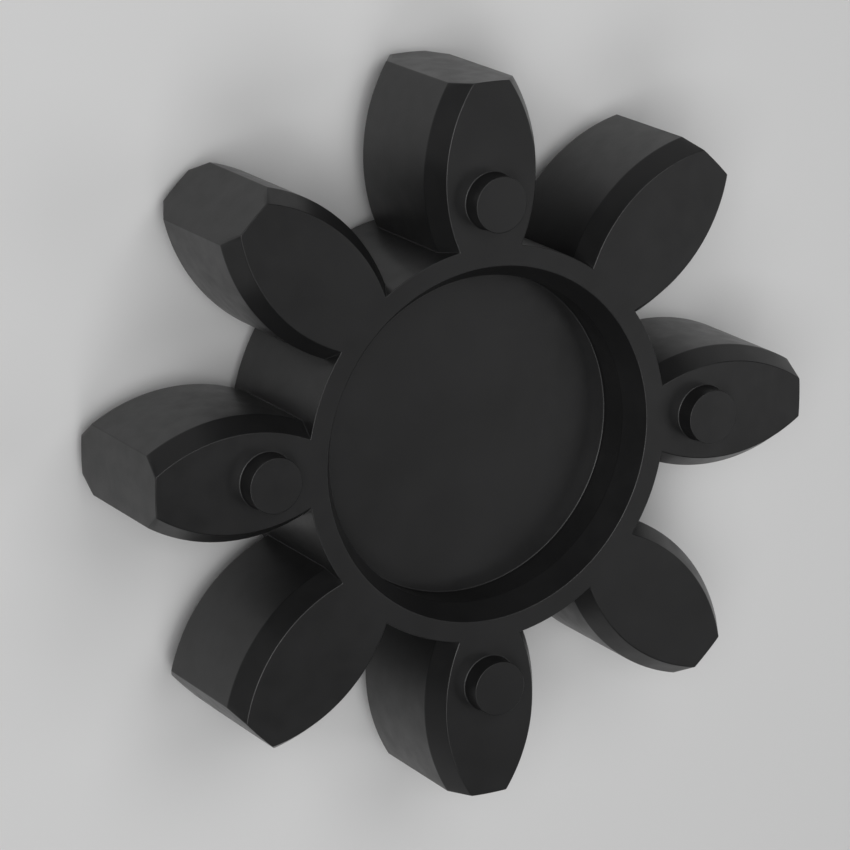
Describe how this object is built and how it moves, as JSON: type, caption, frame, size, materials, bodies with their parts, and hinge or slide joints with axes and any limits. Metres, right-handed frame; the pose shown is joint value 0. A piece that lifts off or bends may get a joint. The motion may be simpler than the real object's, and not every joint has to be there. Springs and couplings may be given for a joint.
{
  "type": "jaw coupling spider",
  "caption": "Star-shaped elastomer insert for a curved-jaw shaft coupling: hub ring with a closed web, crowned bevelled teeth and small spacer nubs.",
  "frame": {"origin": "on the coupling's axis, halfway through the thickness, which is the centre of the whole part", "axes": "+Z along the axis towards the face whose nubs stand on the teeth along +X, +Y, -X and -Y; +X along the middle of one such tooth"},
  "size_m": [0.065, 0.065, 0.0186],
  "materials": {
    "elastomer": "matt black moulded elastomer with a fine grain"
  },
  "bodies": {
    "root": {"spider": "elastomer"}
  },
  "joints": []
}
